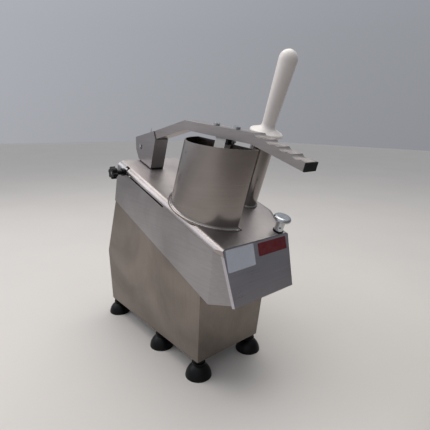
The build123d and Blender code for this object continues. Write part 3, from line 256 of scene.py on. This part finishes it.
def black(name, tint, rough, grain_mm, dust):
    """Moulded black rubber or plastic: a fine grain, greyer where dust or rubbing shows."""
    mat, shader, place = start(name)
    links = mat.node_tree.links
    grain = add(mat, "ShaderNodeTexNoise", [("Vector", place)],
                Scale=per_metre(grain_mm), Detail=3.0)
    cloud = add(mat, "ShaderNodeTexNoise", [("Vector", place)],
                Scale=per_metre(DUST_CLOUD_MM), Detail=5.0)
    share = add(mat, "ShaderNodeMapRange", [("Value", cloud.outputs["Fac"])],
                From_Min=0.45, From_Max=0.8, To_Min=0.0, To_Max=dust)
    links.new(blend(mat, share.outputs["Result"], tint, DUST_COLOUR),
              shader.inputs["Base Color"])
    relief = add(mat, "ShaderNodeBump", [("Height", grain.outputs["Fac"])],
                 Strength=0.12, Distance=GRAIN_DEPTH)
    links.new(relief.outputs[0], shader.inputs["Normal"])
    shader.inputs["Roughness"].default_value = rough
    shader.inputs["Specular IOR Level"].default_value = 0.18
    return mat


foot_rubber = black("foot_rubber", "#020203", 0.42, RUBBER_GRAIN_MM, 0.015)
turned_steel = steel("turned_steel", "#C4C7CA", 0.2, TURNED_GRAIN_MM, marks=0.03)
dress(foot_rubber, "feet")
dress(turned_steel, "foot_studs")

# Inside the casing: capacitor and control box of moulded white plastic on the base plate,
# and the mains gland of black plastic in the rear wall.
PLASTIC_GRAIN_MM = 1.43
MILK_CLOUD_MM = 55.6


def milky(name, tint, pale, rough):
    """White food plastic: soft clouding inside and a waxy shine."""
    mat, shader, place = start(name)
    cloud = add(mat, "ShaderNodeTexNoise", [("Vector", place)],
                Scale=per_metre(MILK_CLOUD_MM), Detail=3.0)
    mat.node_tree.links.new(blend(mat, cloud.outputs["Fac"], tint, pale),
                            shader.inputs["Base Color"])
    shader.inputs["Roughness"].default_value = rough
    return mat


white_plastic = milky("white_plastic", "#C4C0BB", "#D4D2CC", 0.4)
housing_plastic = black("housing_plastic", "#1A1B1D", 0.45, PLASTIC_GRAIN_MM, 0.2)
dress(white_plastic, "capacitor", "control_box")
dress(housing_plastic, "cable_gland")

# Controls on the right side: a black frame with two round push buttons of glossy moulded
# plastic, green to start and red to stop.
BUTTON_MOTTLE_MM = 2.5


def cap(name, tint):
    """Glossy coloured plastic, with a slight mottle in its shine."""
    mat, shader, place = start(name)
    mottle = add(mat, "ShaderNodeTexNoise", [("Vector", place)],
                 Scale=per_metre(BUTTON_MOTTLE_MM), Detail=2.0)
    level = add(mat, "ShaderNodeMapRange", [("Value", mottle.outputs["Fac"])],
                To_Min=0.22, To_Max=0.34)
    mat.node_tree.links.new(level.outputs["Result"], shader.inputs["Roughness"])
    shader.inputs["Base Color"].default_value = rgb(tint)
    return mat


dress(housing_plastic, "start_stop_frame")
dress(cap("button_green", "#1F7A3A"), "start_button")
dress(cap("button_red", "#B01E22"), "stop_button")

# Motor: a finned housing and a small pulley of sand-cast aluminium, hung under a plate of
# the same across the casing. Its shaft is turned steel, its fan and cowl are black plastic,
# and a ribbed rubber belt runs to the large pulley.
CAST_GRAIN_MM = (11.1, 11.1, 11.1)
cast_aluminium = steel("cast_aluminium", "#A2A6A9", 0.42, CAST_GRAIN_MM, marks=0.08)
dress(cast_aluminium, "motor_housing", "motor_pulley", "drive_plate")
dress(turned_steel, "motor_shaft")
dress(housing_plastic, "motor_fan_cowl", "cooling_fan")
dress(foot_rubber, "drive_belt")

# Main shaft: turned steel in two ball bearings, in a housing of grey cast iron with a
# rubber lip seal at its mouth, and the large belt pulley below, cast in the same iron.
IRON_GRAIN_MM = (8.33, 8.33, 8.33)
cast_iron = steel("cast_iron", "#6C7074", 0.5, IRON_GRAIN_MM, marks=0.08)
dress(cast_iron, "bearing_housing", "driven_pulley")
dress(turned_steel, "drive_shaft", "ball_bearings")
dress(foot_rubber, "shaft_seal")

# Hood and discharge chute: folded stainless, brushed from front to rear. The hood laps over
# the casing, narrows to the nose, and has two ears at the rear that carry the hinge rod.
HOOD_BRUSH_MM = (2.63, 83.3, 3.33)
dress(steel("hood_steel", "#A19EA0", 0.33, HOOD_BRUSH_MM, blotching=0.3),
      "hood", "discharge_chute")

# Front panel and chamber wall: bright stainless, brushed across. The panel is a folded tray
# that closes the nose, and the wall curves round the cutting disc.
PANEL_BRUSH_MM = (111, 3.33, 3.33)
dress(steel("panel_steel", "#C2C0C7", 0.3, PANEL_BRUSH_MM), "front_panel", "chamber_wall")

# Two plates on the front panel, left blank: a dark red one on the right and a pale one on
# the left. Each is a thin lacquered sheet with rounded corners, glued to the panel's face.
TOP_SLOPE = math.radians(18.5)
LID_OVER_DISC = 0.0085
LID_FRONT = -0.128
PANEL_ANGLE = math.radians(33)
PLATE_THICKNESS = 0.0006
PLATE_CORNER = 0.0018
CORNER_STEPS = 6
PLATE_WEAR_MM = 7.14
PLATE_WEAR_COLOUR = "#8C8A8B"

# The top's own frame slopes down to the front: across, up the slope, and out of the lid,
# from where the cutting axis meets the lid's outer face.
low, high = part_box("cutting_disc")
TOP = (Matrix.Translation([(a + b) / 2 for a, b in zip(low, high)])
       @ Matrix.Rotation(TOP_SLOPE, 4, "X") @ Matrix.Translation((0, 0, LID_OVER_DISC)))


def on_panel(across, down, out):
    """A place on the front panel: across, down its face and out of it."""
    forward = down * math.sin(PANEL_ANGLE) + out * math.cos(PANEL_ANGLE)
    up = out * math.sin(PANEL_ANGLE) - down * math.cos(PANEL_ANGLE)
    return TOP @ Vector((across, LID_FRONT - forward, up))


def plate(name, left, right, upper, lower, tint, rough):
    """A blank plate between two sides and two heights on the panel."""
    corners = []
    for across, down, first in ((right, upper, 0), (left, upper, 90),
                                (left, lower, 180), (right, lower, 270)):
        middle_across = across + (PLATE_CORNER if across == left else -PLATE_CORNER)
        middle_down = down + (PLATE_CORNER if down == upper else -PLATE_CORNER)
        for step in range(CORNER_STEPS + 1):
            turn = math.radians(first + 90 * step / CORNER_STEPS)
            corners.append((middle_across + PLATE_CORNER * math.cos(turn),
                            middle_down - PLATE_CORNER * math.sin(turn)))
    form = bmesh.new()
    face = form.faces.new([form.verts.new(on_panel(across, down, PLATE_THICKNESS))
                           for across, down in corners])
    sides = bmesh.ops.extrude_face_region(form, geom=[face])["geom"]
    moved = [part for part in sides if isinstance(part, bmesh.types.BMVert)]
    back = on_panel(0, 0, 0) - on_panel(0, 0, PLATE_THICKNESS)
    bmesh.ops.translate(form, verts=moved, vec=back)
    bmesh.ops.recalc_face_normals(form, faces=form.faces)
    mesh = bpy.data.meshes.new(name)
    form.to_mesh(mesh)
    form.free()
    piece = bpy.data.objects.new(name, mesh)
    bpy.context.collection.objects.link(piece)
    lacquer, shader, place = start(name)
    wear = add(lacquer, "ShaderNodeTexNoise", [("Vector", place)],
               Scale=per_metre(PLATE_WEAR_MM), Detail=6.0)
    faded = add(lacquer, "ShaderNodeMapRange", [("Value", wear.outputs["Fac"])],
                From_Min=0.4, From_Max=0.75, To_Min=0.0, To_Max=0.09)
    lacquer.node_tree.links.new(blend(lacquer, faded.outputs["Result"], tint,
                                      PLATE_WEAR_COLOUR),
                                shader.inputs["Base Color"])
    level = add(lacquer, "ShaderNodeMapRange", [("Value", wear.outputs["Fac"])],
                To_Min=rough - 0.06, To_Max=rough + 0.1)
    lacquer.node_tree.links.new(level.outputs["Result"], shader.inputs["Roughness"])
    mesh.materials.append(lacquer)
    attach(piece, "base")


plate("red_plate", left=-0.0195, right=0.0600, upper=0.0058, lower=0.0303,
      tint="#64101A", rough=0.3)
plate("pale_plate", left=-0.1003, right=-0.0318, upper=0.0028, lower=0.0427,
      tint="#B9BDC6", rough=0.38)

# Cutting disc: cast aluminium with a black plastic hub and three ground steel blades. The
# white plastic ejector disc turns under it, and its vanes sweep the food out.
dress(cast_aluminium, "cutting_disc")
dress(housing_plastic, "disc_hub")
dress(turned_steel, "disc_blades")
dress(white_plastic, "ejector_disc")

# Lid and deck: stainless sheet, brushed along the slope. The lid's long edges are rounded,
# its hinge lugs are welded on, and the deck parts the wet chamber from the motor space.
LID_BRUSH_MM = (3.33, 111, 3.33)
lid_steel = steel("lid_steel", "#B3ACAA", 0.36, LID_BRUSH_MM, blotching=0.3)
dress(lid_steel, "lid", "lid_rim", "lid_hinge_lugs", "deck_plate")

# Hinge: a turned steel rod through the hood's ears and the lid's lugs, with a domed nut on
# the right ear. The lobed knob on the left is moulded in shiny black plastic.
knob_plastic = black("knob_plastic", "#0E0F10", 0.34, PLASTIC_GRAIN_MM, 0.15)
dress(turned_steel, "hinge_rod", "hinge_nut")
dress(knob_plastic, "hinge_knob")

# Lid lock: a turned and polished steel mushroom knob on a stem, with a rubber washer on the
# lid. The stem seats in a nut welded under the front panel, where a plastic switch feels it.
gasket_rubber = black("gasket_rubber", "#101112", 0.55, RUBBER_GRAIN_MM, 0.2)
dress(turned_steel, "lock_knob", "lock_stem")
dress(gasket_rubber, "lock_washer")
dress(lid_steel, "catch_nut")
dress(housing_plastic, "lid_switch")

# Lever post: a folded stainless channel on a rubber gasket, held by screws down through its
# foot and the lid, with a turned pivot pin in the slots of its cheeks.
POST_BRUSH_MM = (3.33, 83.3, 3.33)
dress(steel("post_steel", "#9C9798", 0.34, POST_BRUSH_MM), "lever_post")
dress(turned_steel, "post_screws", "lever_pivot_pin")
dress(gasket_rubber, "post_gasket")

# Lever: a cranked bar of brushed aluminium with finger notches and a black end plug. Two
# bolts hold the white plastic pusher and the black block that closes the safety switch.
LEVER_BRUSH_MM = (3.33, 71.4, 3.33)
dress(steel("lever_aluminium", "#A09A98", 0.36, LEVER_BRUSH_MM, marks=0.08), "lever")
dress(knob_plastic, "lever_end_plug")
dress(turned_steel, "lever_bolts")
dress(housing_plastic, "magnet_block")
dress(white_plastic, "pusher_stem", "pusher_plate")

# Half-moon hopper: rolled stainless with a welded flange at its foot. The sheet was brushed
# before it was rolled, so its lines run round it, and they are finer than on the hood.
HOPPER_BRUSH_MM = (333, 333, 0.91)
dress(steel("hopper_steel", "#A49D99", 0.24, HOPPER_BRUSH_MM, marks=0.03, lift=0.005,
            blotching=0.35), "hopper")

# Feed tube and pestle: a drawn stainless tube with a bead at its mouth, polished along its
# length, and in it a pestle of milky white polyethylene with a conical collar.
TUBE_BRUSH_MM = (1.11, 1.11, 143)
dress(steel("tube_steel", "#96908D", 0.16, TUBE_BRUSH_MM, marks=0.03, lift=0.006),
      "feed_tube")
dress(milky("pestle_plastic", "#D9D1CB", "#E2DCD7", 0.34), "pestle")
